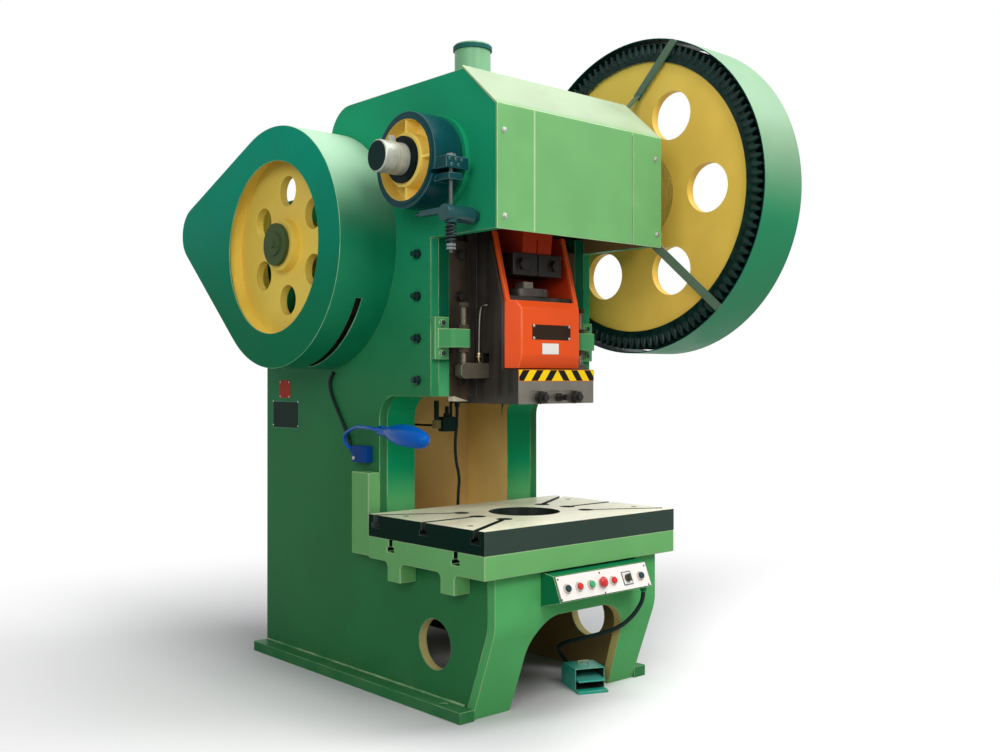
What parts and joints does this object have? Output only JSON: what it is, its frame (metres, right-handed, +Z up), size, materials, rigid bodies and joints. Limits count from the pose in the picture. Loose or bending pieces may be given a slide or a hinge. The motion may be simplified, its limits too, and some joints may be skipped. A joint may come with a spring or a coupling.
{
  "type": "mechanical stamping press",
  "caption": "Open-front crank press: welded C-frame, geared crankshaft with brake, guided ram, slotted bolster, rear flywheel and motor, push-button panel and foot switch",
  "frame": {"origin": "on the floor straight under the axis of the ram and of the shank bore", "axes": "+Z is up and +X is the right-hand side seen from the front, which faces -Y"},
  "size_m": [1.727, 2.422, 2.862],
  "materials": {
    "frame_green": "gloss machine enamel",
    "bed_green": "gloss machine enamel",
    "dark_green": "gloss machine enamel",
    "inner_brown": "flat primer",
    "guard_green": "gloss enamel on sheet",
    "gear_yellow": "gloss enamel",
    "ram_orange": "gloss enamel",
    "dark_iron": "oiled, machined",
    "machined_steel": "ground",
    "black_steel": "black oxide",
    "bronze": "machined",
    "spring_steel": "drawn wire",
    "panel_white": "satin enamel",
    "black_plastic": "moulded",
    "red_plastic": "moulded",
    "green_plastic": "moulded",
    "black_rubber": "sheathed",
    "lamp_blue": "gloss enamel",
    "switch_teal": "gloss enamel",
    "motor_green": "gloss enamel",
    "belt_rubber": "wrapped"
  },
  "bodies": {
    "frame": {"side_plate_right": "frame_green", "side_plate_left": "frame_green", "throat_columns": "frame_green", "jaws": "frame_green", "back_and_top_plate": "frame_green", "throat_panel": "inner_brown", "front_apron": "frame_green", "bed": "bed_green", "foot_flanges": "frame_green", "bolster_plate": "machined_steel", "head_cover": "frame_green", "breather_pipe": "guard_green", "crank_bearings": "bronze", "brake_band": "dark_green", "brake_rod": "black_steel", "brake_anchor": "dark_green", "brake_spring": "spring_steel", "gibs": "dark_iron", "gib_screws": "black_steel", "knockout_brackets": "bed_green", "stop_screws": "black_steel", "pinion_bearings": "bronze", "v_belts": "belt_rubber", "motor": "motor_green", "motor_base": "frame_green", "flywheel_guard": "guard_green", "gear_guard": "guard_green", "control_box": "dark_green", "control_panel": "panel_white", "control_cable": "black_rubber", "foot_switch_hood": "switch_teal", "lamp_arm": "lamp_blue", "lamp_shade": "lamp_blue", "lamp_conduit": "black_rubber", "oil_pump": "dark_green", "pump_lead": "black_rubber"},
    "crank": {"crankshaft": "machined_steel", "shaft_nuts": "black_steel", "brake_drum": "gear_yellow"},
    "rod": {"connecting_rod": "ram_orange"},
    "ram": {"ram_body": "dark_iron", "shank_clamp": "machined_steel", "ram_front_housing": "ram_orange", "ball_seat_ring": "dark_green"},
    "screw": {"ball_screw": "machined_steel"},
    "ejector_bar": {"knockout_bar": "dark_iron"},
    "gear": {"big_gear": "gear_yellow"},
    "flywheel_shaft": {"pinion_shaft": "machined_steel", "flywheel": "gear_yellow", "hub_cap": "dark_green"},
    "motor_rotor": {"motor_pulley": "dark_iron"},
    "start_left": {"start_button_left": "black_plastic"},
    "stop": {"stop_button": "red_plastic"},
    "jog": {"jog_button": "green_plastic"},
    "top_stop": {"top_stop_button": "red_plastic"},
    "start_right": {"start_button_right": "black_plastic"},
    "emergency": {"emergency_button": "red_plastic"},
    "selector": {"selector_knob": "black_plastic"},
    "pedal": {"foot_pedal": "switch_teal"}
  },
  "joints": [
    {"name": "gear_turn", "type": "hinge", "parent": "frame", "child": "gear", "pos_m": [0.78, 0, 2.14], "axis": [1, 0, 0], "continuous": true},
    {"name": "flywheel_turn", "type": "hinge", "parent": "frame", "child": "flywheel_shaft", "pos_m": [-0.6, 0.812, 1.882], "axis": [1, 0, 0], "continuous": true},
    {"name": "motor_turn", "type": "hinge", "parent": "frame", "child": "motor_rotor", "pos_m": [-0.6, 1.53, 1.995], "axis": [1, 0, 0], "continuous": true},
    {"name": "crank_turn", "type": "hinge", "parent": "frame", "child": "crank", "pos_m": [0, 0, 2.14], "axis": [-1, 0, 0], "range_deg": [0, 180]},
    {"name": "ram_stroke", "type": "slide", "parent": "frame", "child": "ram", "axis": [0, 0, 1], "range_m": [-0.14, 0]},
    {"name": "rod_swing", "type": "hinge", "parent": "crank", "child": "rod", "pos_m": [0, 0, 2.21], "axis": [-1, 0, 0], "range_deg": [-180, 0]},
    {"name": "ejector_lift", "type": "slide", "parent": "ram", "child": "ejector_bar", "axis": [0, 0, 1], "range_m": [0, 0.04]},
    {"name": "screw_turn", "type": "hinge", "parent": "ram", "child": "screw", "pos_m": [0, 0, 1.59], "axis": [0, 0, 1], "continuous": true},
    {"name": "start_left_press", "type": "slide", "parent": "frame", "child": "start_left", "axis": [0, 0.9231, -0.3846], "range_m": [0, 0.005], "stiffness_N_per_m": 600, "springref_m": -0.003},
    {"name": "stop_press", "type": "slide", "parent": "frame", "child": "stop", "axis": [0, 0.9231, -0.3846], "range_m": [0, 0.005], "stiffness_N_per_m": 600, "springref_m": -0.003},
    {"name": "jog_press", "type": "slide", "parent": "frame", "child": "jog", "axis": [0, 0.9231, -0.3846], "range_m": [0, 0.005], "stiffness_N_per_m": 600, "springref_m": -0.003},
    {"name": "top_stop_press", "type": "slide", "parent": "frame", "child": "top_stop", "axis": [0, 0.9231, -0.3846], "range_m": [0, 0.005], "stiffness_N_per_m": 600, "springref_m": -0.003},
    {"name": "start_right_press", "type": "slide", "parent": "frame", "child": "start_right", "axis": [0, 0.9231, -0.3846], "range_m": [0, 0.005], "stiffness_N_per_m": 600, "springref_m": -0.003},
    {"name": "emergency_press", "type": "slide", "parent": "frame", "child": "emergency", "axis": [0, 0.9231, -0.3846], "range_m": [0, 0.005]},
    {"name": "selector_turn", "type": "hinge", "parent": "frame", "child": "selector", "pos_m": [0.172, -0.41925, 0.495], "axis": [0, -0.9231, 0.3846], "range_deg": [-45, 45]},
    {"name": "pedal_press", "type": "hinge", "parent": "frame", "child": "pedal", "pos_m": [0.20627, -0.13246, 0.048], "axis": [0.9135, -0.4067, 0], "range_deg": [0, 12], "stiffness_Nm_per_rad": 20, "springref_deg": -5.73}
  ],
  "couplings": [
    {"joint": "flywheel_turn", "follows": "gear_turn", "ratio": -4.2593},
    {"joint": "motor_turn", "follows": "gear_turn", "ratio": -24.81},
    {"joint": "ram_stroke", "follows": "crank_turn", "m_per_rad": -0.04456},
    {"joint": "rod_swing", "follows": "crank_turn", "ratio": -1},
    {"joint": "ejector_lift", "follows": "crank_turn", "m_per_rad": 0.01273}
  ]
}
